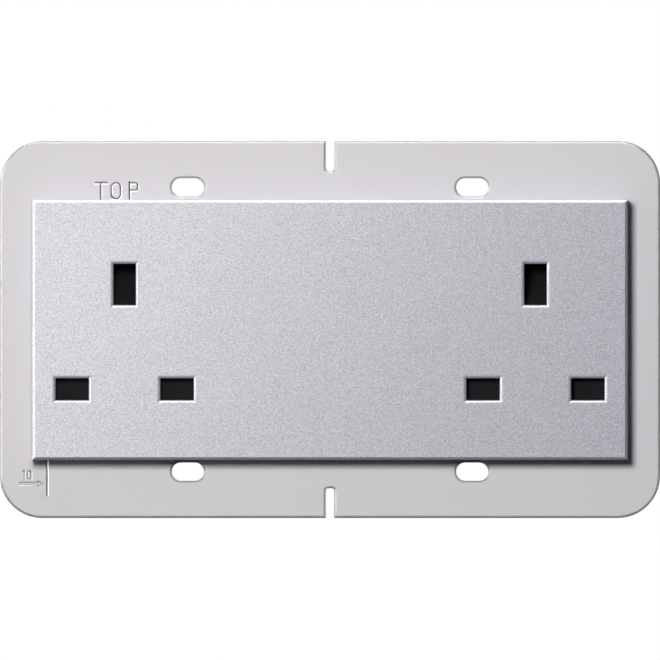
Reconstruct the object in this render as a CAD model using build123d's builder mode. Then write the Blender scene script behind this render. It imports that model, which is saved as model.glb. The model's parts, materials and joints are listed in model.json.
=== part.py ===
"""Two-gang wall socket insert for flat three-pin plugs, with sprung shutters behind its pin mouths.

Sizes are millimetres. The origin is the centre of the carrier plate's back face, which lies on the wall.
X runs to the right seen from the room, Y into the wall and Z up. A height is measured out of the wall,
towards the room, so a height h lies at y = -h.
"""
import math
import os

from build123d import *

# Carrier plate
plate_width = 140.0
plate_height = 80.0
plate_corner = 9.0
plate_thickness = 2.4
plate_round = 0.7
slot_spacing = 60.3
slot_length = 6.8
slot_width = 3.8
notch_width = 1.8
notch_depth = 6.3
notch_corner = 0.5

# Marks engraved in the plate: the upper edge, and a gauge for the bare length of a wire
mark_stroke = 0.72
mark_lip_share = 0.34
mark_lip_slope = 35.0
mark_slope = 74.0
letter_height = 4.1
letter_tuck = 0.15
t_width = 2.8
t_from_centre = 48.6
o_width = 2.7
o_from_centre = 45.4
p_width = 2.45
p_from_centre = 41.65
p_bowl = 1.55
p_bowl_radius = 0.6
gauge_length = 10.0
gauge_line = 7.6
digit_height = 2.2
digit_width = 1.3
digit_stroke = 0.5
digit_flag = 0.5
digit_pitch = 1.05
digits_from_edge = 5.7
digits_below_panel = 3.4
arrow_length = 5.5
arrow_shaft = 0.9
arrow_head = 1.9
arrow_head_length = 1.7
arrow_lip = 0.15
arrow_depth = 0.45
arrow_gap = 0.1
arrow_above_end = 2.7

# Front panel
panel_width = 126.0
panel_height = 55.0
panel_rise = 7.6
panel_face = 2.0
panel_wall = 1.6
panel_chamfer = 0.55
ridge_width = 8.0
ridge_height = 1.4
ridge_reach = 1.0
ridge_pitch = 38.0

# Pin mouths and the pins that they take
gang_inset = 19.5
live_inset = 14.9
pin_spacing = 22.2
live_mouth_width = 7.0
live_mouth_height = 4.6
earth_mouth_width = 4.7
earth_mouth_height = 8.7
mouth_round = 0.7
live_pin_length = 17.7
live_pin_thickness = 4.0
earth_pin_length = 22.7
earth_pin_thickness = 4.0
earth_pin_height = 8.0
tip_room = 0.7

# Clearances
fit_gap = 0.3
slide_gap = 0.2
thread_gap = 0.05
mouth_margin = 0.2

# Inner cover, shutters and their springs
inner_wall = 1.4
inner_deck = 1.6
shutter_thickness = 2.2
shutter_overlap = 0.4
arm_half_width = 4.5
wedge_half_width = 2.6
wedge_tip = 0.8
wedge_foot = 1.0
window_half_width = 2.3
window_rim = 0.7
post_half_width = 1.1
post_length = 1.5
spring_diameter = 2.0
spring_wire = 0.3
spring_turns = 9
spring_seat = 0.02

# Contact housing and rear cover
housing_corner = 2.0
housing_wall = 1.6
housing_deck = 1.5
flange_reach = 2.4
flange_thickness = 1.2
tower_wall = 1.2
tower_setback = 0.8
live_lip_drop = 3.0
lid_thickness = 2.4
lid_edge = 0.8
spigot_wall = 1.4
spigot_height = 1.6
rib_thickness = 1.6
rib_length = 3.0
lid_letter = 3.6
lid_stroke = 0.6
lid_mark_depth = 0.4
lid_mark_gap = 1.6

# Contacts
strip = 0.8
live_clip_width = 6.0
earth_clip_height = 7.0
clip_bite = 0.3
clip_flare = 1.4
clip_lip = 2.5
clip_belly = 0.5
bar_width = 4.0
bar_thickness = 1.0
bar_offset = 6.4
bar_end = 2.0
foot_inset = 0.4

# Terminals
terminal_width = 8.0
terminal_depth = 8.2
terminal_length = 8.0
terminal_drop = 3.4
terminal_edge = 0.4
earth_terminal_pitch = 18.0
wire_bore = 4.6
wire_entry = 6.0
clamp_diameter = 4.0
clamp_head = 6.4
clamp_head_height = 2.0
clamp_clearance = 0.4
driver_slot_width = 1.0
driver_slot_depth = 0.9
driver_room = 0.8

# Assembly screws
screw_diameter = 2.6
screw_head = 5.0
screw_head_height = 1.6
screw_clearance = 0.4
boss_radius = 2.4
cover_screw_grip = 3.4
cover_screw_inset = 6.2
cover_screw_side_inset = 4.7
cover_screw_drop = 3.6
cover_screw_from_shutter = 8.5
lid_screw_grip = 8.0
lid_post_radius = 2.8
lid_post_from_well = 10.7

# Heights out of the wall, from the panel's face down to the rear
plate_front = plate_thickness
panel_top = plate_front + panel_rise
panel_under = panel_top - panel_face
inner_top = panel_under - fit_gap
inner_under = inner_top - inner_deck
shutter_top = inner_under - slide_gap
shutter_under = shutter_top - shutter_thickness
housing_top = shutter_under - slide_gap
deck_under = housing_top - housing_deck
live_lip = deck_under - live_lip_drop
live_base = panel_top - live_pin_length - tip_room
live_bar_front = live_base - strip
live_bar_rear = live_bar_front - bar_thickness
earth_base = panel_top - earth_pin_length - tip_room
earth_bar_front = earth_base - strip
earth_bar_rear = earth_bar_front - bar_thickness
housing_rear = earth_bar_rear - clamp_head_height - clamp_clearance
lid_rear = housing_rear - lid_thickness

# Nested outlines, each from the one around it
cavity_width = panel_width - 2 * panel_wall
cavity_height = panel_height - 2 * panel_wall
inner_width = cavity_width - 2 * fit_gap
inner_height = cavity_height - 2 * fit_gap
hollow_width = inner_width - 2 * inner_wall
hollow_height = inner_height - 2 * inner_wall
housing_width = hollow_width - 2 * fit_gap
housing_height = hollow_height - 2 * fit_gap
chamber_width = housing_width - 2 * housing_wall
chamber_height = housing_height - 2 * housing_wall
flange_width = housing_width + 2 * flange_reach
flange_height = housing_height + 2 * flange_reach

# Places across the face
letter_low = panel_height / 2 - letter_tuck
arrow_lip_depth = arrow_lip * math.tan(math.radians(mark_lip_slope))
gang_place = panel_width / 2 - gang_inset
gangs = {"left": -gang_place, "right": gang_place}
live_height = live_inset - panel_height / 2
earth_height = live_height + pin_spacing
neutral_places = {side: gang - pin_spacing / 2 for side, gang in gangs.items()}
line_places = {side: gang + pin_spacing / 2 for side, gang in gangs.items()}
live_places = [(x, live_height) for x in [*neutral_places.values(), *line_places.values()]]
earth_places = [(gang, earth_height) for gang in gangs.values()]
neutral_bar_row = live_height - bar_offset
line_bar_row = live_height + bar_offset
live_terminal_row = live_height - terminal_drop
bar_half_width = pin_spacing / 2 + live_mouth_width / 2 + shutter_overlap
live_well_width = live_mouth_width + 2 * mouth_margin
terminal_places = {
    "neutral_terminal": (gangs["left"], live_terminal_row),
    "line_terminal": (gangs["right"], live_terminal_row),
    "earth_terminal_left": (-earth_terminal_pitch / 2, earth_height),
    "earth_terminal_right": (earth_terminal_pitch / 2, earth_height),
}
cover_screw_column = gang_place - bar_half_width - cover_screw_from_shutter
cover_screw_row = hollow_height / 2 - cover_screw_inset
cover_screw_side = hollow_width / 2 - cover_screw_side_inset
cover_screw_side_row = earth_height - cover_screw_drop
cover_screw_places = [
    (across * cover_screw_column, up * cover_screw_row) for across in (-1, 1) for up in (-1, 1)
]
cover_screw_places += [(-cover_screw_side, cover_screw_side_row), (cover_screw_side, cover_screw_side_row)]
lid_screw_shank = lid_thickness - screw_head_height + lid_screw_grip
lid_post_inset = fit_gap + spigot_wall + fit_gap + lid_post_radius
lid_corner_column = chamber_width / 2 - lid_post_inset
lid_corner_row = chamber_height / 2 - lid_post_inset
lid_screw_places = [(-lid_corner_column, lid_corner_row), (lid_corner_column, lid_corner_row)]
lid_post_column = gang_place - pin_spacing / 2 - live_well_width / 2 - lid_post_from_well
lid_screw_places += [(-lid_post_column, live_height), (lid_post_column, live_height)]
ridge_places = [-ridge_pitch, 0.0, ridge_pitch]

# Shutter: a crossbar over the two lower mouths, an arm, and a wedge that the earth pin pushes down
bar_low = live_height - live_mouth_height / 2 - shutter_overlap
bar_high = live_height + live_mouth_height / 2 + shutter_overlap
pin_low = earth_height - earth_pin_height / 2
ramp_low = pin_low - shutter_overlap
ramp_high = ramp_low + earth_pin_height
wedge_low = ramp_low - wedge_foot
ramp_end = shutter_top - (ramp_high - ramp_low)
wedge_back = ramp_end - wedge_tip
shutter_travel = ramp_high - pin_low + slide_gap
pocket_floor = wedge_back - slide_gap
pocket_low = wedge_low - shutter_travel - fit_gap
window_low = bar_high + window_rim
post_low = window_low + slide_gap
post_high = post_low + post_length
earth_lip = pocket_floor - fit_gap

# Wells round the clips
throat = live_pin_thickness / 2 - clip_bite
earth_throat = earth_pin_thickness / 2 - clip_bite
live_well_height = 2 * (throat + strip + clip_flare + fit_gap)
earth_well_width = 2 * (earth_throat + strip + clip_flare + fit_gap)
earth_well_height = earth_mouth_height + 2 * mouth_margin
pocket_half_width = wedge_half_width + slide_gap

pieces = {}


def front_plane(height):
    """Sketch plane at a height out of the wall, seen from the room: right is +X and up is +Z."""
    return Plane.XZ.offset(height)


def rear_plane(height):
    """Sketch plane at a height out of the wall, seen from inside the wall: right is -X and up is +Z."""
    return Plane(origin=(0, -height, 0), x_dir=(-1, 0, 0), z_dir=(0, 1, 0))


def mouths(margin):
    """Outlines of the six pin mouths, each grown by a margin on every side."""
    with Locations(*live_places):
        Rectangle(live_mouth_width + 2 * margin, live_mouth_height + 2 * margin)
    with Locations(*earth_places):
        Rectangle(earth_mouth_width + 2 * margin, earth_mouth_height + 2 * margin)


def circles(places, radius):
    """One circle of a radius at each place."""
    with Locations(*places):
        Circle(radius)


def stroke(points, width):
    """One engraved stroke of a width along straight runs between points."""
    with BuildLine() as run:
        Polyline(*points)
    trace(run.line, line_width=width)


def terminal_bar_front(name):
    """Height of the front of the bar that a terminal stands on."""
    return earth_bar_front if name.startswith("earth") else live_bar_front


def terminal_bore_height(name):
    """Height of the centre of a terminal's wire bore."""
    return terminal_bar_front(name) + terminal_depth / 2


def groove(line, width):
    """Cut a V groove of a width with shallow lips and steep walls, along a line on the plate's front."""
    edge = width / 2
    lip = width * mark_lip_share
    lip_depth = lip * math.tan(math.radians(mark_lip_slope))
    shoulder = edge - lip
    depth = lip_depth + shoulder * math.tan(math.radians(mark_slope))
    with BuildSketch(Plane(origin=line @ 0, x_dir=(0, 1, 0), z_dir=line % 0)) as section:
        with BuildLine() as vee:
            Polyline(
                (0, -edge),
                (0, edge),
                (lip_depth, shoulder),
                (depth, 0),
                (lip_depth, -shoulder),
                close=True,
            )
        make_face(vee.line)
    sweep(section.sketch, path=line, mode=Mode.SUBTRACT)


def straight_groove(start, end, width):
    """A straight groove between two places on the plate's front."""
    with BuildLine(front_plane(plate_front)) as run:
        Line(start, end)
    groove(run.line, width)


def ring_groove(place, ring_width, ring_height, width):
    """A groove round an upright ring with round ends, about a place on the plate's front."""
    across = (ring_width - width) / 2
    x, z = place
    up = ring_height / 2 - width / 2 - across
    with BuildLine(front_plane(plate_front)) as run:
        Line((x - across, z - up), (x - across, z + up))
        ThreePointArc((x - across, z + up), (x, z + up + across), (x + across, z + up))
        Line((x + across, z + up), (x + across, z - up))
        ThreePointArc((x + across, z - up), (x, z - up - across), (x - across, z - up))
    groove(run.line, width)


def upper_edge_letters():
    """The letters T, O and P above the panel: straight strokes, a ring, and a stem with a bowl."""
    letter_middle = letter_low + letter_height / 2
    bar_row = letter_low + letter_height - mark_stroke / 2
    stem = -t_from_centre
    straight_groove((stem - t_width / 2, bar_row), (stem + t_width / 2, bar_row), mark_stroke)
    straight_groove((stem, letter_low), (stem, bar_row), mark_stroke)
    ring_groove((-o_from_centre, letter_middle), o_width, letter_height, mark_stroke)
    stem = -p_from_centre - (p_width - mark_stroke) / 2
    side = stem + p_width - mark_stroke
    waist = bar_row - p_bowl
    straight_groove((stem, letter_low), (stem, letter_low + letter_height), mark_stroke)
    with BuildLine(front_plane(plate_front)) as bowl:
        FilletPolyline((stem, bar_row), (side, bar_row), (side, waist), (stem, waist), radius=p_bowl_radius)
    groove(bowl.line, mark_stroke)


def wire_gauge():
    """The wire gauge: its length in figures, an upright line at that length, and an arrow that points at it."""
    edge = -plate_width / 2
    figures = edge + digits_from_edge
    middle = -panel_height / 2 - digits_below_panel
    one = figures - digit_pitch / 2
    crown = middle + digit_height / 2
    straight_groove((one, middle - digit_height / 2), (one, crown), digit_stroke)
    straight_groove((one - digit_flag, crown - digit_flag), (one, crown), digit_stroke)
    ring_groove((figures + digit_pitch / 2, middle), digit_width, digit_height, digit_stroke)
    line = edge + gauge_length
    top = -panel_height / 2 - fit_gap
    straight_groove((line, top - gauge_line), (line, top), mark_stroke)


def gauge_arrow():
    """Outline of the wire gauge's arrow."""
    tip = -plate_width / 2 + gauge_length - mark_stroke / 2 - arrow_gap
    neck = tip - arrow_head_length
    tail = tip - arrow_length
    middle = -panel_height / 2 - fit_gap - gauge_line + arrow_above_end
    with BuildLine() as outline:
        Polyline(
            (tip, middle),
            (neck, middle + arrow_head / 2),
            (neck, middle + arrow_shaft / 2),
            (tail, middle + arrow_shaft / 2),
            (tail, middle - arrow_shaft / 2),
            (neck, middle - arrow_shaft / 2),
            (neck, middle - arrow_head / 2),
            close=True,
        )
    make_face(outline.line)


def lid_marks():
    """Terminal marks beside the lid's windows: N, L and an earth sign, as seen from inside the wall."""
    half = lid_letter / 2
    aside = clamp_head / 2 + lid_mark_gap + half
    place, row = terminal_places["neutral_terminal"]
    left = -place - aside - half
    right = left + lid_letter
    stroke([(left, row - half), (left, row + half), (right, row - half), (right, row + half)], lid_stroke)
    place, row = terminal_places["line_terminal"]
    left = -place + aside - half
    stroke([(left, row + half), (left, row - half), (left + lid_letter, row - half)], lid_stroke)
    with Locations((0, earth_height + half / 2)):
        Rectangle(lid_stroke, lid_letter / 2)
    for step, share in enumerate((1.0, 0.62, 0.24)):
        with Locations((0, earth_height - step * 2 * lid_stroke)):
            Rectangle(lid_letter * share, lid_stroke)


def clip_line(half_gap, lip, base):
    """Centre line of a spring clip as (sideways, height) points, from one lip round the base to the other."""
    side = half_gap + strip / 2
    floor = base - strip / 2
    half = [(side + clip_flare, lip), (side, lip - clip_lip), (side + clip_belly, floor)]
    return [(-across, height) for across, height in half] + half[::-1]


# Front cover: an open-backed shell that stands on the plate, with a ridge row inside each long wall
with BuildPart() as front_cover:
    with BuildSketch(front_plane(plate_front)):
        Rectangle(panel_width, panel_height)
    extrude(amount=panel_rise)
    chamfer(front_cover.edges().group_by(Axis.Y)[0], length=panel_chamfer)
    with BuildSketch(front_plane(plate_front)):
        Rectangle(cavity_width, cavity_height)
    extrude(amount=panel_rise - panel_face, mode=Mode.SUBTRACT)
    with BuildSketch(front_plane(panel_under)):
        mouths(0)
    extrude(amount=panel_face, mode=Mode.SUBTRACT)
    fillet(front_cover.faces().sort_by(Axis.Y)[0].inner_wires().edges(), radius=mouth_round)
    for place in ridge_places:
        with BuildSketch(Plane.YZ.offset(place - ridge_width / 2)):
            for up in (-1, 1):
                wall = up * cavity_height / 2
                tip = up * (cavity_height / 2 - fit_gap - ridge_reach)
                with BuildLine():
                    Polyline(
                        (-plate_front - ridge_height, wall),
                        (-plate_front - 2 * ridge_height, wall),
                        (-plate_front - 2 * ridge_height, tip),
                        close=True,
                    )
                make_face()
        extrude(amount=ridge_width)
pieces["front_cover"] = front_cover

# Carrier plate: slots, notches and rounded front edges, then the opening, the rear rebate and the marks
with BuildPart() as carrier_plate:
    with BuildSketch(front_plane(0)):
        RectangleRounded(plate_width, plate_height, plate_corner)
        with Locations((0, plate_height / 2), (0, -plate_height / 2)):
            RectangleRounded(notch_width, 2 * notch_depth, notch_corner, mode=Mode.SUBTRACT)
        with GridLocations(slot_spacing, slot_spacing, 2, 2):
            SlotOverall(slot_length, slot_width, mode=Mode.SUBTRACT)
    extrude(amount=plate_thickness)
    fillet(carrier_plate.edges().group_by(Axis.Y)[0], radius=plate_round)
    with BuildSketch(front_plane(0)):
        Rectangle(hollow_width, hollow_height)
    extrude(amount=plate_thickness, mode=Mode.SUBTRACT)
    with BuildSketch(front_plane(0)):
        Rectangle(flange_width + 2 * fit_gap, flange_height + 2 * fit_gap)
    extrude(amount=flange_thickness, mode=Mode.SUBTRACT)

    upper_edge_letters()
    wire_gauge()
    with BuildSketch(front_plane(plate_front)):
        gauge_arrow()
    extrude(amount=-arrow_lip_depth, taper=90 - mark_lip_slope, mode=Mode.SUBTRACT)
    with BuildSketch(front_plane(plate_front - arrow_lip_depth)):
        gauge_arrow()
        offset(amount=-arrow_lip, kind=Kind.INTERSECTION, mode=Mode.REPLACE)
    extrude(amount=-arrow_depth, taper=90 - mark_slope, mode=Mode.SUBTRACT)
pieces["carrier_plate"] = carrier_plate

# Inner cover: a black box with guide holes behind the mouths, screw bosses and windows for the ridges
with BuildPart() as inner_cover:
    with BuildSketch(front_plane(plate_front)):
        Rectangle(inner_width, inner_height)
    extrude(amount=inner_top - plate_front)
    with BuildSketch(front_plane(plate_front)):
        Rectangle(hollow_width, hollow_height)
    extrude(amount=inner_under - plate_front, mode=Mode.SUBTRACT)
    with BuildSketch(front_plane(inner_under)):
        mouths(mouth_margin)
    extrude(amount=inner_deck, mode=Mode.SUBTRACT)
    with BuildSketch(front_plane(housing_top)):
        circles(cover_screw_places, boss_radius)
    extrude(amount=inner_under - housing_top)
    with BuildSketch(front_plane(housing_top)):
        circles(cover_screw_places, screw_diameter / 2 + thread_gap)
    extrude(amount=cover_screw_grip + slide_gap, mode=Mode.SUBTRACT)
    with BuildSketch(front_plane(plate_front + ridge_height - fit_gap)):
        with Locations(*[(place, up * inner_height / 2) for place in ridge_places for up in (-1, 1)]):
            Rectangle(ridge_width + 2 * fit_gap, 2 * inner_wall)
    extrude(amount=ridge_height + 2 * fit_gap, mode=Mode.SUBTRACT)
pieces["inner_cover"] = inner_cover

# Contact housing: an open-backed box whose deck carries the shutters and whose wells hold the clips
with BuildPart() as contact_housing:
    with BuildSketch(front_plane(housing_rear)):
        RectangleRounded(housing_width, housing_height, housing_corner)
    extrude(amount=housing_top - housing_rear)
    with BuildSketch(front_plane(housing_rear)):
        Rectangle(chamber_width, chamber_height)
    extrude(amount=deck_under - housing_rear, mode=Mode.SUBTRACT)
    with BuildSketch(front_plane(0)):
        Rectangle(flange_width, flange_height)
        Rectangle(chamber_width, chamber_height, mode=Mode.SUBTRACT)
    extrude(amount=flange_thickness)

    with BuildSketch(front_plane(live_base + tower_setback)):
        with Locations(*live_places):
            Rectangle(live_well_width + 2 * tower_wall, live_well_height + 2 * tower_wall)
        Rectangle(housing_width, housing_height, mode=Mode.INTERSECT)
    extrude(amount=deck_under - live_base - tower_setback)
    with BuildSketch(front_plane(earth_base + tower_setback)):
        with Locations(*earth_places):
            Rectangle(earth_well_width + 2 * tower_wall, earth_well_height + 2 * tower_wall)
    extrude(amount=deck_under - earth_base - tower_setback)
    pocket_rows = (pocket_low - tower_wall, earth_height)
    with BuildSketch(front_plane(pocket_floor - tower_wall)):
        with Locations(*[(gang, sum(pocket_rows) / 2) for gang in gangs.values()]):
            Rectangle(2 * (pocket_half_width + tower_wall), pocket_rows[1] - pocket_rows[0])
    extrude(amount=deck_under - pocket_floor + tower_wall)

    with BuildSketch(front_plane(live_base)):
        with Locations(*live_places):
            Rectangle(live_well_width, live_well_height)
    extrude(amount=deck_under - live_base, mode=Mode.SUBTRACT)
    with BuildSketch(front_plane(earth_base)):
        with Locations(*earth_places):
            Rectangle(earth_well_width, earth_well_height)
    extrude(amount=deck_under - earth_base, mode=Mode.SUBTRACT)
    pocket_rows = (pocket_low, ramp_high + fit_gap)
    with BuildSketch(front_plane(pocket_floor)):
        with Locations(*[(gang, sum(pocket_rows) / 2) for gang in gangs.values()]):
            Rectangle(2 * pocket_half_width, pocket_rows[1] - pocket_rows[0])
    extrude(amount=housing_top - pocket_floor, mode=Mode.SUBTRACT)
    with BuildSketch(front_plane(deck_under)):
        mouths(mouth_margin)
    extrude(amount=housing_deck, mode=Mode.SUBTRACT)

    with BuildSketch(front_plane(housing_top)):
        with Locations(*[(gang, (post_low + post_high) / 2) for gang in gangs.values()]):
            Rectangle(2 * post_half_width, post_length)
    extrude(amount=shutter_thickness)
    with BuildSketch(front_plane(housing_rear)):
        circles(lid_screw_places, lid_post_radius)
    extrude(amount=deck_under - housing_rear)
    with BuildSketch(front_plane(housing_rear)):
        circles(lid_screw_places, screw_diameter / 2 + thread_gap)
    extrude(amount=lid_screw_grip + slide_gap, mode=Mode.SUBTRACT)
    with BuildSketch(front_plane(deck_under)):
        circles(cover_screw_places, screw_diameter / 2 + screw_clearance / 2)
    extrude(amount=housing_deck, mode=Mode.SUBTRACT)
    for name, (place, row) in terminal_places.items():
        wall = chamber_height / 2 if row > 0 else -housing_height / 2
        with BuildSketch(Plane.XY.offset(wall)):
            with Locations((place, -terminal_bore_height(name))):
                Rectangle(wire_entry, wire_entry)
        extrude(amount=housing_wall, mode=Mode.SUBTRACT)
pieces["contact_housing"] = contact_housing

# Rear cover: a lid with a locating rim, ribs that back the bars, and a window over each clamp screw
with BuildPart() as rear_cover:
    with BuildSketch(front_plane(lid_rear)):
        RectangleRounded(housing_width, housing_height, housing_corner)
    extrude(amount=lid_thickness)
    chamfer(rear_cover.edges().group_by(Axis.Y)[-1], length=lid_edge)
    with BuildSketch(front_plane(housing_rear)):
        Rectangle(chamber_width - 2 * fit_gap, chamber_height - 2 * fit_gap)
        Rectangle(
            chamber_width - 2 * fit_gap - 2 * spigot_wall,
            chamber_height - 2 * fit_gap - 2 * spigot_wall,
            mode=Mode.SUBTRACT,
        )
    extrude(amount=spigot_height)
    live_ribs = [(x, neutral_bar_row) for x in neutral_places.values()]
    live_ribs += [(x, line_bar_row) for x in line_places.values()]
    with BuildSketch(front_plane(housing_rear)):
        with Locations(*live_ribs):
            Rectangle(rib_thickness, rib_length)
    extrude(amount=live_bar_rear - housing_rear)
    with BuildSketch(front_plane(housing_rear)):
        with Locations(*earth_places):
            Rectangle(rib_thickness, rib_length)
    extrude(amount=earth_bar_rear - housing_rear)
    with BuildSketch(front_plane(lid_rear)):
        circles(terminal_places.values(), clamp_head / 2 + driver_room / 2)
        circles(lid_screw_places, screw_diameter / 2 + screw_clearance / 2)
    extrude(amount=lid_thickness, mode=Mode.SUBTRACT)
    with BuildSketch(front_plane(lid_rear)):
        circles(lid_screw_places, screw_head / 2 + screw_clearance / 2)
    extrude(amount=screw_head_height, mode=Mode.SUBTRACT)
    with BuildSketch(rear_plane(lid_rear)):
        lid_marks()
    extrude(amount=-lid_mark_depth, mode=Mode.SUBTRACT)
pieces["rear_cover"] = rear_cover

# Shutters, and the springs that push them up
for side, gang in gangs.items():
    with BuildPart() as shutter:
        with BuildSketch(front_plane(shutter_under)):
            with Locations((gang, live_height)):
                Rectangle(2 * bar_half_width, bar_high - bar_low)
            with Locations((gang, (live_height + ramp_low) / 2)):
                Rectangle(2 * arm_half_width, ramp_low - live_height)
            with Locations((gang, (window_low + wedge_low) / 2)):
                Rectangle(2 * window_half_width, wedge_low - window_low, mode=Mode.SUBTRACT)
        extrude(amount=shutter_thickness)
        with BuildSketch(Plane.YZ.offset(gang - wedge_half_width)):
            with BuildLine():
                Polyline(
                    (-shutter_top, wedge_low),
                    (-shutter_top, ramp_low),
                    (-ramp_end, ramp_high),
                    (-wedge_back, ramp_high),
                    (-wedge_back, wedge_low),
                    close=True,
                )
            make_face()
        extrude(amount=2 * wedge_half_width)
    pieces[f"shutter_{side}"] = shutter

    spring_low = post_high + spring_wire / 2 + spring_seat
    spring_high = wedge_low - spring_wire / 2 - spring_seat
    spring_height = (shutter_top + shutter_under) / 2
    with BuildPart() as shutter_spring:
        with BuildLine(Plane(origin=(gang, -spring_height, spring_low))) as coil:
            Helix(
                pitch=(spring_high - spring_low) / spring_turns,
                height=spring_high - spring_low,
                radius=(spring_diameter - spring_wire) / 2,
            )
        with BuildSketch(Plane(origin=coil.line @ 0, z_dir=coil.line % 0)):
            Circle(spring_wire / 2)
        sweep(path=coil.line)
    pieces[f"shutter_spring_{side}"] = shutter_spring

# Spring clips: bent strips that grip the pins, each lower one with a foot out to its bar
for kind, places, reach in (("neutral", neutral_places, -1), ("line", line_places, 1)):
    for side, place in places.items():
        foot_length = bar_offset + bar_width / 2 - foot_inset
        with BuildPart() as live_clip:
            with BuildSketch(Plane.YZ.offset(place - live_clip_width / 2)):
                with BuildLine():
                    line = clip_line(throat, live_lip, live_base)
                    Polyline(*[(-height, live_height + across) for across, height in line])
                trace(line_width=strip)
            extrude(amount=live_clip_width)
            with BuildSketch(front_plane(live_base - strip)):
                with Locations((place, live_height + reach * foot_length / 2)):
                    Rectangle(live_clip_width, foot_length)
            extrude(amount=strip)
        pieces[f"{kind}_clip_{side}"] = live_clip

for side, gang in gangs.items():
    with BuildPart() as earth_clip:
        with BuildSketch(Plane.XY.offset(pin_low)):
            with BuildLine():
                line = clip_line(earth_throat, earth_lip, earth_base)
                Polyline(*[(gang + across, -height) for across, height in line])
            trace(line_width=strip)
        extrude(amount=earth_clip_height)
    pieces[f"earth_clip_{side}"] = earth_clip

# Bars: flat links, each with a drilled pad under its clamp screw
bars = {
    "neutral_bar": (live_bar_rear, neutral_bar_row, neutral_places, ["neutral_terminal"]),
    "line_bar": (live_bar_rear, line_bar_row, line_places, ["line_terminal"]),
    "earth_bar": (earth_bar_rear, earth_height, gangs, ["earth_terminal_left", "earth_terminal_right"]),
}
for name, (rear, row, places, terminals) in bars.items():
    ends = (places["left"] - bar_end, places["right"] + bar_end)
    pads = [terminal_places[terminal] for terminal in terminals]
    with BuildPart() as bar:
        with BuildSketch(front_plane(rear)):
            with Locations((sum(ends) / 2, row)):
                Rectangle(ends[1] - ends[0], bar_width)
            with Locations(*pads):
                Rectangle(terminal_width, terminal_length)
            if name == "line_bar":
                with Locations((pads[0][0], (row + pads[0][1]) / 2)):
                    Rectangle(live_clip_width, row - pads[0][1])
            with Locations(*pads):
                Circle(clamp_diameter / 2 + clamp_clearance / 2, mode=Mode.SUBTRACT)
        extrude(amount=bar_thickness)
    pieces[name] = bar

# Terminals: drilled brass blocks in front of the bars, with a clamp screw from behind
for name, (place, row) in terminal_places.items():
    block_rear = terminal_bar_front(name)
    bore_height = terminal_bore_height(name)
    with BuildPart() as terminal:
        with BuildSketch(front_plane(block_rear)):
            with Locations((place, row)):
                Rectangle(terminal_width, terminal_length)
        extrude(amount=terminal_depth)
        chamfer(terminal.edges().group_by(Axis.Y)[0], length=terminal_edge)
        with BuildSketch(Plane.XY.offset(row - terminal_length / 2)):
            with Locations((place, -bore_height)):
                Circle(wire_bore / 2)
        extrude(amount=terminal_length, mode=Mode.SUBTRACT)
        with BuildSketch(front_plane(block_rear)):
            with Locations((place, row)):
                Circle(clamp_diameter / 2 + thread_gap)
        extrude(amount=terminal_depth / 2, mode=Mode.SUBTRACT)
    pieces[name] = terminal

    head_front = block_rear - bar_thickness
    tip = bore_height - wire_bore / 2 - slide_gap
    with BuildPart() as clamp_screw:
        with BuildSketch(front_plane(head_front - clamp_head_height)):
            with Locations((place, row)):
                Circle(clamp_head / 2)
        extrude(amount=clamp_head_height)
        with BuildSketch(front_plane(head_front)):
            with Locations((place, row)):
                Circle(clamp_diameter / 2)
        extrude(amount=tip - head_front)
        with BuildSketch(front_plane(head_front - clamp_head_height)):
            with Locations((place, row)):
                Rectangle(clamp_head, driver_slot_width)
        extrude(amount=driver_slot_depth, mode=Mode.SUBTRACT)
    pieces[f"{name}_screw"] = clamp_screw

# Assembly screws: one group under the deck, one group in the lid
screw_groups = {
    "cover_screws": (cover_screw_places, deck_under, housing_deck + cover_screw_grip),
    "rear_cover_screws": (lid_screw_places, lid_rear + screw_head_height, lid_screw_shank),
}
for name, (places, seat, shank) in screw_groups.items():
    with BuildPart() as screws:
        with BuildSketch(front_plane(seat - screw_head_height)):
            circles(places, screw_head / 2)
        extrude(amount=screw_head_height)
        with BuildSketch(front_plane(seat)):
            circles(places, screw_diameter / 2)
        extrude(amount=shank)
        with BuildSketch(front_plane(seat - screw_head_height)):
            with Locations(*places):
                Rectangle(screw_head, driver_slot_width)
        extrude(amount=driver_slot_depth, mode=Mode.SUBTRACT)
    pieces[name] = screws

os.makedirs("parts", exist_ok=True)
for name, piece in pieces.items():
    piece.part.label = name
    export_step(piece.part, f"parts/{name}.step")
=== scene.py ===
"""Looks of the two-gang wall socket insert.

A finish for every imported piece, wound shutter springs, a studio and a camera. Lengths are metres unless
the name says millimetres, and angles are radians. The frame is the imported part's: X to the right seen
from the room, Y into the wall, Z up.
"""
import json
import math

import bpy
import numpy as np
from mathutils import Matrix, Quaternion, Vector


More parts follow.
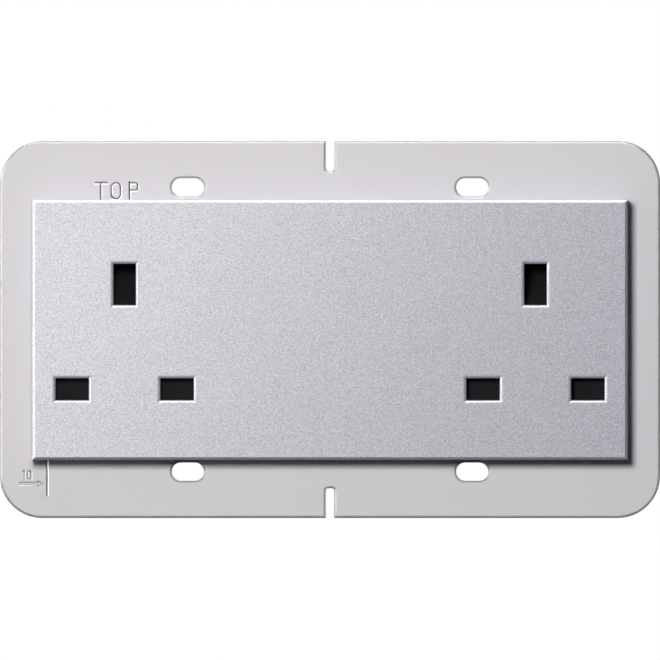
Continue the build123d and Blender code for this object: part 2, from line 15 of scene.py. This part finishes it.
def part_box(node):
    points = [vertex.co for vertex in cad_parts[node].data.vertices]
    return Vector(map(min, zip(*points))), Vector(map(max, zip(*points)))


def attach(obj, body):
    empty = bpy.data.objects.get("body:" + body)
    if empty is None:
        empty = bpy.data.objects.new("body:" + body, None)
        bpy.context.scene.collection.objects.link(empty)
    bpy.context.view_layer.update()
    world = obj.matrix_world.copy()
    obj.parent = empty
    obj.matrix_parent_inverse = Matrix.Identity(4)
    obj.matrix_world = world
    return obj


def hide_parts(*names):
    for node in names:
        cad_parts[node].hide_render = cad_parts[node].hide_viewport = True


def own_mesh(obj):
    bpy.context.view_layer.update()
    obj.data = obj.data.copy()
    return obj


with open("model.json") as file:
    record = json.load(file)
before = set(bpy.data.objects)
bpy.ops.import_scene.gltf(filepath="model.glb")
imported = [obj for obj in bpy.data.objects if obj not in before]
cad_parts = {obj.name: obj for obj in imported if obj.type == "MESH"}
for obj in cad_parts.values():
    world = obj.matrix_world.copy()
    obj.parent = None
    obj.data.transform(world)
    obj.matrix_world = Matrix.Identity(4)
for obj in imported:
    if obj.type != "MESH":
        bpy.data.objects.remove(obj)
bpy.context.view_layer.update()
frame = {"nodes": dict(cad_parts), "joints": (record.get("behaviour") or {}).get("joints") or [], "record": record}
scene = bpy.context.scene
scene.view_settings.view_transform = "Standard"

# The picture: the carrier plate fills its width, seen nearly straight on from far away
plate_low, plate_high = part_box("carrier_plate")
PLATE_WIDTH = plate_high.x - plate_low.x
CAMERA_DISTANCE = 5.2
CAMERA_DROP = 0.00015
CAMERA_TILT = 0.012
CAMERA_FAR = 20.0
SENSOR_MM = 36.0

# Engraved marks on the carrier plate: the middle's X and Z, and a reach that holds no other edge in sight
MARKS = ((-0.0453, 0.03, 0.0075), (-0.063, -0.032, 0.005))

# The share of a mark's reach that counts in full
MARK_CORE = 0.95

# Painted shade in recesses: how far and by how many rays a face looks for walls,
# and how open slots and plain faces are
RECESS_REACH = 0.0012
RECESS_RAYS = 8
SLOT_OPENNESS = 0.4
FACE_OPENNESS = 0.9

# Shutter springs
COIL_TURNS = 9
CLOSED_TURNS = 1.0
STEPS_PER_TURN = 28
WIRE_SIDES = 10
WIRE_RADIUS = 0.00015

# Studio: the even light, the floor and its glow, and the box whose right side and bottom are flags
WHITE = (1.0, 1.0, 1.0)
AMBIENT = 0.03
FLOOR_HEIGHT = -0.15
FLOOR_REACH = 2.6
FLOOR_GLOW = 0.96
FLAG_LEFT = -0.3
FLAG_RIGHT = 0.2
FLAG_NEAR = -0.5
FLAG_FAR = 0.35
FLAG_LOW = -0.1
FLAG_HIGH = 0.3

# A Mix node's sockets, by number because their names repeat: factor, first, second, and the result
VALUE_MIX = (0, 2, 3)
VALUE_RESULT = 0
COLOUR_MIX = (0, 6, 7)
COLOUR_RESULT = 2

# Lamps: what they face, where the strip hangs and how it leans, and the tints that are not white
LAMP_TARGET = (0.0, -0.01, 0.0)
STRIP_X = -0.08
STRIP_LEAN = -0.34
STRIP_TINT = (1.0, 0.88, 0.745)
GLOSS_TINT = (1.0, 0.985, 0.97)


def feed(tree, socket, value):
    """An input given a link from another node's output, or a fixed number or colour."""
    if isinstance(value, bpy.types.NodeSocket):
        tree.links.new(value, socket)
    elif isinstance(value, tuple):
        socket.default_value = (*value, 1.0)
    else:
        socket.default_value = value


def node_in(tree, kind, inputs=None, **settings):
    """A new node in a tree, with values for some inputs, by name or number, and for its settings."""
    node = tree.nodes.new(kind)
    for name, value in settings.items():
        setattr(node, name, value)
    for name, value in (inputs or {}).items():
        node.inputs[name].default_value = value
    return node


def math_in(tree, operation, *values):
    """A Math node's result on values that are sockets or numbers."""
    node = node_in(tree, "ShaderNodeMath", operation=operation)
    for socket, value in zip(node.inputs, values):
        feed(tree, socket, value)
    return node.outputs[0]


def ramp_in(tree, factor, stops):
    """A colour ramp fed by a factor, with stops of (place, grey level or colour)."""
    node = tree.nodes.new("ShaderNodeValToRGB")
    elements = node.color_ramp.elements
    while len(elements) < len(stops):
        elements.new(0.5)
    for element, (place, colour) in zip(elements, stops):
        element.position = place
        rgb = colour if isinstance(colour, tuple) else (colour, colour, colour)
        element.color = (*rgb, 1.0)
    tree.links.new(factor, node.inputs[0])
    return node.outputs["Color"]


def range_in(tree, value, low=0.0, high=1.0, start=0.0, end=1.0):
    """A value carried from start..end to low..high, and held beyond the ends."""
    limits = {"From Min": start, "From Max": end, "To Min": low, "To Max": high}
    node = node_in(tree, "ShaderNodeMapRange", limits)
    tree.links.new(value, node.inputs["Value"])
    return node.outputs[0]


def blend_in(tree, factor, first, second):
    """Two colours blended by a factor, each of the three a socket or fixed."""
    node = node_in(tree, "ShaderNodeMix", data_type="RGBA")
    for number, value in zip(COLOUR_MIX, (factor, first, second)):
        feed(tree, node.inputs[number], value)
    return node.outputs[COLOUR_RESULT]


def grade_in(tree, factor, first, second):
    """Two values blended by a factor, each of the three a socket or fixed."""
    node = node_in(tree, "ShaderNodeMix", data_type="FLOAT")
    for number, value in zip(VALUE_MIX, (factor, first, second)):
        feed(tree, node.inputs[number], value)
    return node.outputs[VALUE_RESULT]


def bump_in(tree, height, strength, distance):
    """A normal from a height, with a depth in metres."""
    node = node_in(tree, "ShaderNodeBump", {"Strength": strength, "Distance": distance})
    tree.links.new(height, node.inputs["Height"])
    return node.outputs["Normal"]


def place_in(tree):
    """The place on a piece, in its own frame."""
    return tree.nodes.new("ShaderNodeTexCoord").outputs["Object"]


def noise_in(tree, place, scale, detail, roughness, seed=None):
    """Fractal noise over a place, with a scale from a socket and, if given, a seed as a fourth axis."""
    node = node_in(tree, "ShaderNodeTexNoise", {"Detail": detail, "Roughness": roughness})
    tree.links.new(place, node.inputs["Vector"])
    tree.links.new(scale, node.inputs["Scale"])
    if seed is not None:
        node.noise_dimensions = "4D"
        tree.links.new(seed, node.inputs["W"])
    return node.outputs[0]


def new_group(name, inputs, outputs):
    """An empty shader group with named float inputs and outputs, and its two end nodes."""
    tree = bpy.data.node_groups.new(name, "ShaderNodeTree")
    for side, labels in (("INPUT", inputs), ("OUTPUT", outputs)):
        for label in labels:
            tree.interface.new_socket(label, in_out=side, socket_type="NodeSocketFloat")
    return tree, tree.nodes.new("NodeGroupInput"), tree.nodes.new("NodeGroupOutput")


def group_in(tree, group, **inputs):
    """A group placed in a material, with its own values."""
    node = tree.nodes.new("ShaderNodeGroup")
    node.node_tree = group
    for label, value in inputs.items():
        node.inputs[label.replace("_", " ")].default_value = value
    return node.outputs


def mould_grain_group():
    """Spark-eroded mould grain: two octaves of fine noise as a height, and its pits as a faint tone."""
    tree, start, end = new_group("mould_grain", ["Cells per metre"], ["Height", "Tone"])
    grain = noise_in(tree, place_in(tree), start.outputs[0], detail=2.0, roughness=0.6)
    tree.links.new(range_in(tree, grain, start=0.3, end=0.7), end.inputs["Height"])
    tree.links.new(range_in(tree, grain, start=0.35, end=0.65), end.inputs["Tone"])
    return tree


def flake_group():
    """Metal flakes: a random tone for each small cell, with a slower noise that gathers them into clumps.

    Tone is a share of the cell's first random level plus a share of the noise. Tilt is the second level.
    """
    cell_share = 0.55
    clump_share = 0.45
    tree, start, end = new_group("flakes", ["Cells per metre", "Clumps per metre"], ["Tone", "Tilt"])
    place = place_in(tree)
    cells = node_in(tree, "ShaderNodeTexVoronoi", {"Randomness": 1.0}, feature="F1")
    tree.links.new(place, cells.inputs["Vector"])
    tree.links.new(start.outputs[0], cells.inputs["Scale"])
    levels = tree.nodes.new("ShaderNodeSeparateColor")
    tree.links.new(cells.outputs["Color"], levels.inputs[0])
    clumps = noise_in(tree, place, start.outputs[1], detail=3.0, roughness=0.65)
    gathered = range_in(tree, clumps, high=clump_share, start=0.3, end=0.7)
    tone = math_in(tree, "MULTIPLY_ADD", levels.outputs[0], cell_share, gathered)
    tree.links.new(tone, end.inputs["Tone"])
    tree.links.new(levels.outputs[1], end.inputs["Tilt"])
    return tree


def slow_drift_group():
    """Slow drift of a finish over a piece: one broad noise, stretched to the whole range."""
    tree, start, end = new_group("slow_drift", ["Patches per metre", "Seed"], ["Drift"])
    patches = start.outputs[0]
    seed = start.outputs[1]
    drift = noise_in(tree, place_in(tree), patches, detail=3.0, roughness=0.5, seed=seed)
    tree.links.new(range_in(tree, drift, start=0.32, end=0.68), end.inputs["Drift"])
    return tree


def drawn_lines_group():
    """Lines left by drawing or rolling: noise stretched about eight times along X, as height and mask."""
    tree, start, end = new_group("drawn_lines", ["Lines per metre"], ["Height", "Mask"])
    stretch = node_in(tree, "ShaderNodeMapping", {"Scale": (0.12, 1.0, 1.0)})
    tree.links.new(place_in(tree), stretch.inputs["Vector"])
    lines = noise_in(tree, stretch.outputs[0], start.outputs[0], detail=2.0, roughness=0.55)
    tree.links.new(lines, end.inputs["Height"])
    tree.links.new(range_in(tree, lines, start=0.35, end=0.65), end.inputs["Mask"])
    return tree


def facing_group():
    """How a face is turned in its piece's own frame.

    Front runs from minus one on a face that looks into the wall to one on a face that looks into the room.
    Slope is nil on both of those and one on a face square to them.
    """
    tree, _, end = new_group("facing", [], ["Front", "Slope"])
    parts = tree.nodes.new("ShaderNodeSeparateXYZ")
    tree.links.new(tree.nodes.new("ShaderNodeTexCoord").outputs["Normal"], parts.inputs[0])
    inward = parts.outputs["Y"]
    tree.links.new(range_in(tree, inward, low=1.0, high=-1.0, start=-1.0, end=1.0), end.inputs["Front"])
    straight = math_in(tree, "ABSOLUTE", inward)
    tree.links.new(range_in(tree, straight, low=1.0, high=0.0), end.inputs["Slope"])
    return tree


def recess_group():
    """Painted shade in a piece's own recesses: nil on open faces, and the most it covers in a narrow slot."""
    tree, start, end = new_group("recess", ["Most"], ["Grime"])
    reach = {"Distance": RECESS_REACH}
    hollow = node_in(tree, "ShaderNodeAmbientOcclusion", reach, samples=RECESS_RAYS, only_local=True)
    open_share = hollow.outputs["AO"]
    shut = range_in(tree, open_share, low=1.0, high=0.0, start=SLOT_OPENNESS, end=FACE_OPENNESS)
    tree.links.new(math_in(tree, "MULTIPLY", shut, start.outputs[0]), end.inputs["Grime"])
    return tree


mould_grain = mould_grain_group()
flakes = flake_group()
slow_drift = slow_drift_group()
drawn_lines = drawn_lines_group()
facing = facing_group()
recess = recess_group()


def new_finish(name):
    """A material with its node tree and its Principled shader."""
    material = bpy.data.materials.new(name)
    material.use_nodes = True
    tree = material.node_tree
    return material, tree, tree.nodes["Principled BSDF"]


def silver_lacquer():
    """Fine aluminium flake lacquer, sprayed from the front: flake tone, flake gloss and a faint relief.

    Walls that run along the spray take a thin, dull coat, so gloss and metal fade as a face turns away.
    """
    dark_flake = (0.265, 0.273, 0.312)
    light_flake = (0.565, 0.582, 0.655)
    cloud = (0.54, 0.54, 0.57)
    moulding = (0.2, 0.2, 0.21)
    moulding_share = 0.65
    dull = 0.8
    material, tree, shader = new_finish("silver_lacquer")
    turned = group_in(tree, facing)
    coat = range_in(tree, turned["Front"], start=0.2, end=0.6)
    flake = group_in(tree, flakes, Cells_per_metre=7000.0, Clumps_per_metre=3000.0)
    drift = group_in(tree, slow_drift, Patches_per_metre=22.0, Seed=1.5)
    tone = ramp_in(tree, flake["Tone"], [(0.15, dark_flake), (0.85, light_flake)])
    clouded = blend_in(tree, range_in(tree, drift["Drift"], high=0.06), tone, cloud)
    thin = blend_in(tree, moulding_share, clouded, moulding)
    tree.links.new(blend_in(tree, coat, thin, clouded), shader.inputs["Base Color"])
    relief = bump_in(tree, flake["Tone"], strength=0.12, distance=0.000013)
    tree.links.new(relief, shader.inputs["Normal"])
    tree.links.new(range_in(tree, coat, high=0.15), shader.inputs["Metallic"])
    flake_gloss = range_in(tree, flake["Tilt"], low=0.32, high=0.42)
    tree.links.new(grade_in(tree, coat, dull, flake_gloss), shader.inputs["Roughness"])
    return material


def near_marks(tree):
    """One within the reach of an engraved mark, and nil away from all of them."""
    place = place_in(tree)
    near = 0.0
    for x, z, reach in MARKS:
        away = node_in(tree, "ShaderNodeVectorMath", {1: (x, plate_low.y, z)}, operation="DISTANCE")
        tree.links.new(place, away.inputs[0])
        core = MARK_CORE * reach
        close = range_in(tree, away.outputs["Value"], low=1.0, high=0.0, start=core, end=reach)
        near = math_in(tree, "MAXIMUM", near, close)
    return near


def plate_grey():
    """Light grey satin moulding: nearly even colour, a very fine grain and a slow drift in gloss.

    Edges, where a face slopes, are worn glossier and, away from the engraved marks, take a painted shade of
    darker grey. The marks hold painted shade as well: dark colour on their steep walls, which face the front
    only a little.
    """
    dark_grey = (0.672, 0.65, 0.685)
    light_grey = (0.688, 0.666, 0.701)
    pit = (0.6, 0.58, 0.6)
    # Painted shade: a darker grey on sloped edges, away from the marks
    edge_shade_grey = (0.48, 0.465, 0.48)
    # Painted shade: near-black for the marks' steep walls
    mark_shade = (0.05, 0.048, 0.05)
    edge_gloss = 0.3
    steep_walls = [(0.05, 0.0), (0.15, 1.0), (0.5, 1.0), (0.7, 0.0)]
    material, tree, shader = new_finish("plate_grey")
    turned = group_in(tree, facing)
    sloped = range_in(tree, turned["Slope"], start=0.03, end=0.12)
    marked = near_marks(tree)
    edge_shade = math_in(tree, "MULTIPLY", sloped, range_in(tree, marked, low=1.0, high=0.0))
    steep = ramp_in(tree, turned["Front"], steep_walls)
    grain = group_in(tree, mould_grain, Cells_per_metre=6500.0)
    drift = group_in(tree, slow_drift, Patches_per_metre=18.0, Seed=4.0)
    tone = ramp_in(tree, drift["Drift"], [(0.0, dark_grey), (1.0, light_grey)])
    pitted = blend_in(tree, range_in(tree, grain["Tone"], high=0.02), tone, pit)
    # Painted shade on the sloped edges
    edge_shaded = blend_in(tree, edge_shade, pitted, edge_shade_grey)
    # Painted shade on the marks' steep walls
    mark_shaded = blend_in(tree, math_in(tree, "MULTIPLY", marked, steep), edge_shaded, mark_shade)
    tree.links.new(mark_shaded, shader.inputs["Base Color"])
    satin = range_in(tree, drift["Drift"], low=0.5, high=0.56)
    tree.links.new(grade_in(tree, sloped, satin, edge_gloss), shader.inputs["Roughness"])
    relief = bump_in(tree, grain["Height"], strength=0.06, distance=0.00001)
    tree.links.new(relief, shader.inputs["Normal"])
    polish = math_in(tree, "MULTIPLY", sloped, range_in(tree, marked, low=0.5, high=1.0))
    tree.links.new(polish, shader.inputs["Coat Weight"])
    shader.inputs["Coat Roughness"].default_value = 0.3
    shader.inputs["Specular IOR Level"].default_value = 0.3
    return material


def black_plastic():
    """Black moulding: a grain of faint grey pits and a dull gloss that drifts."""
    dark_pit = (0.0112, 0.0099, 0.0118)
    light_pit = (0.0168, 0.0149, 0.0176)
    material, tree, shader = new_finish("black_plastic")
    grain = group_in(tree, mould_grain, Cells_per_metre=4200.0)
    drift = group_in(tree, slow_drift, Patches_per_metre=40.0, Seed=7.0)
    tone = ramp_in(tree, grain["Tone"], [(0.0, dark_pit), (1.0, light_pit)])
    tree.links.new(tone, shader.inputs["Base Color"])
    tree.links.new(range_in(tree, drift["Drift"], low=0.5, high=0.62), shader.inputs["Roughness"])
    relief = bump_in(tree, grain["Height"], strength=0.2, distance=0.00002)
    tree.links.new(relief, shader.inputs["Normal"])
    shader.inputs["Specular IOR Level"].default_value = 0.03
    return material


def housing_dark():
    """Anthracite heat-proof moulding: coarse grain, cloudy tone, painted shade in recesses and drifting gloss."""
    dark_cloud = (0.03, 0.03, 0.032)
    light_cloud = (0.042, 0.042, 0.043)
    pit = (0.02, 0.02, 0.021)
    # Painted shade: near-black for the recesses
    recess_shade_colour = (0.006, 0.006, 0.006)
    material, tree, shader = new_finish("housing_dark")
    grain = group_in(tree, mould_grain, Cells_per_metre=3000.0)
    drift = group_in(tree, slow_drift, Patches_per_metre=55.0, Seed=11.0)
    hollow = group_in(tree, recess, Most=0.9)
    tone = ramp_in(tree, drift["Drift"], [(0.0, dark_cloud), (1.0, light_cloud)])
    pitted = blend_in(tree, range_in(tree, grain["Tone"], high=0.3), tone, pit)
    # Painted shade blended in where the recesses close in
    tree.links.new(blend_in(tree, hollow["Grime"], pitted, recess_shade_colour), shader.inputs["Base Color"])
    tree.links.new(range_in(tree, drift["Drift"], low=0.46, high=0.6), shader.inputs["Roughness"])
    relief = bump_in(tree, grain["Height"], strength=0.25, distance=0.00003)
    tree.links.new(relief, shader.inputs["Normal"])
    return material


def brass():
    """Stamped brass: rolling lines, and brown tarnish that gathers in patches and dulls the gloss."""
    dark_line = (0.68, 0.47, 0.19)
    light_line = (0.8, 0.6, 0.29)
    brown = (0.36, 0.2, 0.075)
    material, tree, shader = new_finish("brass")
    lines = group_in(tree, drawn_lines, Lines_per_metre=5200.0)
    drift = group_in(tree, slow_drift, Patches_per_metre=170.0, Seed=3.0)
    bright = ramp_in(tree, lines["Mask"], [(0.0, dark_line), (1.0, light_line)])
    tarnish = range_in(tree, drift["Drift"], high=0.55, start=0.45)
    tree.links.new(blend_in(tree, tarnish, bright, brown), shader.inputs["Base Color"])
    tree.links.new(range_in(tree, drift["Drift"], low=0.36, high=0.55), shader.inputs["Roughness"])
    relief = bump_in(tree, lines["Height"], strength=0.15, distance=0.00002)
    tree.links.new(relief, shader.inputs["Normal"])
    shader.inputs["Metallic"].default_value = 1.0
    return material


def zinc_steel():
    """Zinc plated steel: small crystals of differing tone, a drifting bluish cast and painted shade in slots."""
    dark_crystal = (0.4, 0.41, 0.43)
    light_crystal = (0.55, 0.555, 0.56)
    bluish = (0.42, 0.44, 0.49)
    # Painted shade: a brownish near-black for the slots
    recess_shade_colour = (0.03, 0.028, 0.025)
    material, tree, shader = new_finish("zinc_steel")
    flake = group_in(tree, flakes, Cells_per_metre=2600.0, Clumps_per_metre=900.0)
    drift = group_in(tree, slow_drift, Patches_per_metre=220.0, Seed=5.0)
    hollow = group_in(tree, recess, Most=0.95)
    tone = ramp_in(tree, flake["Tone"], [(0.1, dark_crystal), (0.9, light_crystal)])
    cast = blend_in(tree, range_in(tree, drift["Drift"], high=0.4), tone, bluish)
    # Painted shade blended in where the slots close in
    tree.links.new(blend_in(tree, hollow["Grime"], cast, recess_shade_colour), shader.inputs["Base Color"])
    tree.links.new(range_in(tree, drift["Drift"], low=0.34, high=0.48), shader.inputs["Roughness"])
    relief = bump_in(tree, flake["Tilt"], strength=0.08, distance=0.00001)
    tree.links.new(relief, shader.inputs["Normal"])
    shader.inputs["Metallic"].default_value = 1.0
    return material


def spring_steel():
    """Drawn spring wire: dark grey steel with drawing lines and a light oil film that drifts."""
    dark_line = (0.33, 0.33, 0.345)
    light_line = (0.47, 0.47, 0.485)
    material, tree, shader = new_finish("spring_steel")
    lines = group_in(tree, drawn_lines, Lines_per_metre=14000.0)
    drift = group_in(tree, slow_drift, Patches_per_metre=400.0, Seed=9.0)
    tone = ramp_in(tree, lines["Mask"], [(0.0, dark_line), (1.0, light_line)])
    tree.links.new(tone, shader.inputs["Base Color"])
    tree.links.new(range_in(tree, drift["Drift"], low=0.22, high=0.38), shader.inputs["Roughness"])
    relief = bump_in(tree, lines["Height"], strength=0.2, distance=0.00001)
    tree.links.new(relief, shader.inputs["Normal"])
    shader.inputs["Metallic"].default_value = 1.0
    return material


finishes = {
    make.__name__: make()
    for make in (silver_lacquer, plate_grey, black_plastic, housing_dark, brass, zinc_steel, spring_steel)
}
slot_of = {piece["node"]: piece["material_slot"] for piece in frame["record"]["subparts"]}
for name, node in frame["nodes"].items():
    for slot in node.material_slots:
        slot.material = finishes[slot_of[name]]


def mesh_piece(name, points, faces, finish):
    """A new mesh object at the origin from lists of points and faces."""
    mesh = bpy.data.meshes.new(name)
    mesh.from_pydata(points, [], faces)
    mesh.materials.append(finish)
    piece = bpy.data.objects.new(name, mesh)
    scene.collection.objects.link(piece)
    return piece


def wound_spring(name, low, high):
    """A wire of round section wound about an upright axis, between the corners of a box.

    The turn angle grows evenly with the first parameter. The climb is one wire thickness for each closed
    end turn, and even over the turns between them. The second parameter runs round the wire, in the plane
    of the outward and upward directions. A flat face closes each cut end.
    """
    centre = (low + high) / 2
    radius = (high.x - low.x) / 2 - WIRE_RADIUS
    bottom = low.z + WIRE_RADIUS
    top = high.z - WIRE_RADIUS
    count = COIL_TURNS * STEPS_PER_TURN + 1
    turns = np.linspace(0.0, COIL_TURNS, count)
    closed_climb = 2 * WIRE_RADIUS * CLOSED_TURNS
    climb = np.interp(
        turns,
        [0.0, CLOSED_TURNS, COIL_TURNS - CLOSED_TURNS, COIL_TURNS],
        [bottom, bottom + closed_climb, top - closed_climb, top],
    )
    angle = 2 * math.pi * turns[:, None]
    side = np.linspace(0.0, 2 * math.pi, WIRE_SIDES, endpoint=False)[None, :]
    reach = radius + WIRE_RADIUS * np.cos(side)
    points = np.stack(
        [
            centre.x + reach * np.cos(angle),
            centre.y + reach * np.sin(angle),
            climb[:, None] + WIRE_RADIUS * np.sin(side),
        ],
        axis=-1,
    )
    ring = np.arange(count * WIRE_SIDES).reshape(count, WIRE_SIDES)
    after = np.roll(ring, -1, axis=1)
    walls = np.stack([ring[:-1], ring[1:], after[1:], after[:-1]], axis=-1).reshape(-1, 4).tolist()
    ends = [ring[0].tolist(), ring[-1][::-1].tolist()]
    piece = mesh_piece(name, points.reshape(-1, 3).tolist(), walls + ends, finishes["spring_steel"])
    smooth = np.ones(len(piece.data.polygons), dtype=bool)
    smooth[-len(ends):] = False
    piece.data.polygons.foreach_set("use_smooth", smooth)
    return piece


travel = {joint["child"]: (joint["name"], joint["range_m"][1]) for joint in frame["joints"]}
for shutter, (joint, reach) in travel.items():
    node = shutter.replace("shutter_", "shutter_spring_")
    low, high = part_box(node)
    spring = wound_spring(f"{node}_coil", low, high)
    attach(spring, "socket")
    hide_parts(node)
    seat = (low + high) / 2
    seat.z = low.z
    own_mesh(spring)


def lamp(name, place, target, width, height, watts, colour=WHITE, turn=0.0, diffuse=True, glossy=True):
    """A rectangular softbox that faces a target, turned about that line, and that no camera sees."""
    light = bpy.data.lights.new(name, "AREA")
    light.shape = "RECTANGLE"
    light.size = width
    light.size_y = height
    light.energy = watts
    light.color = colour
    piece = bpy.data.objects.new(name, light)
    scene.collection.objects.link(piece)
    piece.location = place
    piece.rotation_mode = "QUATERNION"
    aim = (Vector(target) - Vector(place)).to_track_quat("-Z", "Y")
    piece.rotation_quaternion = aim @ Quaternion((0.0, 0.0, 1.0), turn)
    piece.visible_camera = False
    piece.visible_diffuse = diffuse
    piece.visible_glossy = glossy


def card(name, corners, finish):
    """A flat four-cornered card of the studio."""
    piece = mesh_piece(name, corners, [(0, 1, 2, 3)], finish)
    return piece


def level_corners(left, right, near, far, height):
    """The corners of a level rectangle, in turn from the near left one."""
    return [(left, near, height), (right, near, height), (right, far, height), (left, far, height)]


def upright_corners(x, near, far, low, high):
    """The corners of an upright rectangle that looks along X, in turn from the low near one."""
    return [(x, near, low), (x, far, low), (x, far, high), (x, near, high)]


def background_rays(tree):
    """One for the rays that see the studio's background: from the camera, off gloss or through glass."""
    path = tree.nodes.new("ShaderNodeLightPath")
    seen = path.outputs["Is Camera Ray"]
    for kind in ("Is Glossy Ray", "Is Transmission Ray"):
        seen = math_in(tree, "MAXIMUM", seen, path.outputs[kind])
    return seen


def shader_blend_in(tree, factor, first, second):
    """Two shaders blended by a factor."""
    node = tree.nodes.new("ShaderNodeMixShader")
    for socket, value in zip(node.inputs, (factor, first, second)):
        tree.links.new(value, socket)
    return node.outputs[0]


def studio_world():
    """White background for the rays that see it, and a low even light for the rest."""
    world = bpy.data.worlds.new("studio")
    scene.world = world
    world.use_nodes = True
    tree = world.node_tree
    tree.nodes.clear()
    fill = node_in(tree, "ShaderNodeBackground", {"Color": (*WHITE, 1.0), "Strength": AMBIENT})
    white = node_in(tree, "ShaderNodeBackground", {"Color": (*WHITE, 1.0), "Strength": 1.0})
    both = shader_blend_in(tree, background_rays(tree), fill.outputs[0], white.outputs[0])
    tree.links.new(both, tree.nodes.new("ShaderNodeOutputWorld").inputs["Surface"])


def bare_material(name):
    """A material with an empty node tree, and the input that takes its surface."""
    material = bpy.data.materials.new(name)
    material.use_nodes = True
    tree = material.node_tree
    tree.nodes.clear()
    return material, tree, tree.nodes.new("ShaderNodeOutputMaterial").inputs["Surface"]


def floor_paper():
    """Pale paper: mostly white to the rays that see the background, with shade enough to keep a shadow."""
    material, tree, surface = bare_material("floor_paper")
    paper = node_in(tree, "ShaderNodeBsdfDiffuse", {"Color": (0.8, 0.8, 0.8, 1.0)})
    glow = node_in(tree, "ShaderNodeEmission", {"Color": (*WHITE, 1.0), "Strength": 1.0})
    share = math_in(tree, "MULTIPLY", background_rays(tree), FLOOR_GLOW)
    tree.links.new(shader_blend_in(tree, share, paper.outputs[0], glow.outputs[0]), surface)
    return material


def black_cloth():
    """Dull black cloth for the flags that darken what the right and lower edges mirror."""
    material, tree, surface = bare_material("black_cloth")
    cloth = node_in(tree, "ShaderNodeBsdfDiffuse", {"Color": (0.01, 0.01, 0.01, 1.0)})
    tree.links.new(cloth.outputs[0], surface)
    return material


studio_world()
floor_corners = level_corners(-FLOOR_REACH, FLOOR_REACH, -FLOOR_REACH, FLOOR_REACH, FLOOR_HEIGHT)
card("floor", floor_corners, floor_paper())
cloth = black_cloth()
flags = [
    card("flag_right", upright_corners(FLAG_RIGHT, FLAG_NEAR, FLAG_FAR, FLAG_LOW, FLAG_HIGH), cloth),
    card("flag_below", level_corners(FLAG_LEFT, FLAG_RIGHT, FLAG_NEAR, FLAG_FAR, FLAG_LOW), cloth),
]
for flag in flags:
    flag.visible_camera = False
    flag.visible_shadow = False

# The key gives the level and the shadow
lamp("key", (-0.068, -0.61, 0.121), LAMP_TARGET, width=0.12, height=0.12, watts=3.34, glossy=False)

# The strip gives the sheen that falls off across the panel
lamp(
    "strip",
    place=(STRIP_X, -0.38, 0.0),
    target=(STRIP_X, 0.0, 0.0),
    width=0.04,
    height=0.8,
    watts=1.44,
    colour=STRIP_TINT,
    turn=STRIP_LEAN,
    diffuse=False,
)

# The gloss lamps give the bright edges on the left and on top
for name, place, width, height in (
    ("side_gloss", (-0.5, -0.2, 0.0), 0.45, 0.6),
    ("top_gloss", (0.0, -0.2, 0.5), 0.6, 0.45),
):
    lamp(name, place, LAMP_TARGET, width, height, watts=9.3, colour=GLOSS_TINT, diffuse=False)

# The rear lamp lights the back
lamp("rear", (-0.35, 0.8, 0.32), LAMP_TARGET, width=1.2, height=0.7, watts=9.0)

camera = bpy.data.objects.new("camera", bpy.data.cameras.new("camera"))
scene.collection.objects.link(camera)
camera.location = (0.0, -CAMERA_DISTANCE, CAMERA_DISTANCE * math.tan(CAMERA_TILT) - CAMERA_DROP)
camera.rotation_euler = (math.pi / 2 - CAMERA_TILT, 0.0, 0.0)
camera.data.sensor_width = SENSOR_MM
camera.data.lens = SENSOR_MM * CAMERA_DISTANCE / PLATE_WIDTH
camera.data.clip_end = CAMERA_FAR
scene.camera = camera
